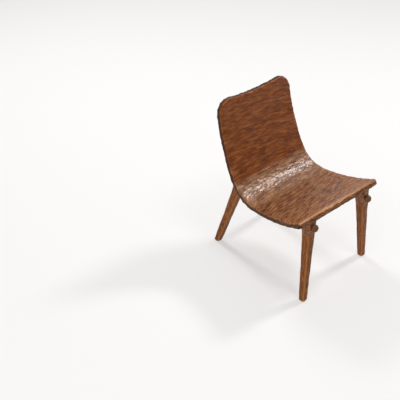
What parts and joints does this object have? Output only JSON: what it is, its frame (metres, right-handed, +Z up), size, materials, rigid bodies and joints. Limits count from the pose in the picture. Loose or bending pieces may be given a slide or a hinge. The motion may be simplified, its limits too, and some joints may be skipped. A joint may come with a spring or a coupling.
{
  "type": "low side chair",
  "caption": "Low hand-hewn wooden chair: one curved board shell for seat and back on squared, tapering legs, each pegged into a lug by a knob-headed wooden peg.",
  "frame": {"origin": "on the floor, under the middle of the chair's outer box", "axes": "+Z up, -Y towards the front edge of the seat, -X to the left as seen from in front"},
  "size_m": [0.4723, 0.5546, 0.6946],
  "materials": {
    "shell_wood": "dark reddish-brown hardwood, adzed and waxed to a low gloss",
    "leg_wood": "the same hardwood, hewn square with softened edges, waxed",
    "peg_wood": "whittled hardwood, waxed, duller than the shell"
  },
  "bodies": {
    "chair": {"seat_shell": "shell_wood", "leg_front_left": "leg_wood", "leg_front_right": "leg_wood", "leg_rear_left": "leg_wood", "leg_rear_right": "leg_wood"},
    "peg_front_left": {"peg_front_left": "peg_wood"},
    "peg_front_right": {"peg_front_right": "peg_wood"},
    "peg_rear_left": {"peg_rear_left": "peg_wood"},
    "peg_rear_right": {"peg_rear_right": "peg_wood"}
  },
  "joints": [
    {"name": "peg_front_left_draw", "type": "slide", "parent": "chair", "child": "peg_front_left", "axis": [0.0213, -0.9709, 0.2386], "range_m": [0, 0.03]},
    {"name": "peg_front_right_draw", "type": "slide", "parent": "chair", "child": "peg_front_right", "axis": [-0.025, -0.9882, 0.1512], "range_m": [0, 0.03]},
    {"name": "peg_rear_left_draw", "type": "slide", "parent": "chair", "child": "peg_rear_left", "axis": [0.0192, 0.9515, 0.3069], "range_m": [0, 0.03]},
    {"name": "peg_rear_right_draw", "type": "slide", "parent": "chair", "child": "peg_rear_right", "axis": [-0.0192, 0.9515, 0.3069], "range_m": [0, 0.03]}
  ]
}
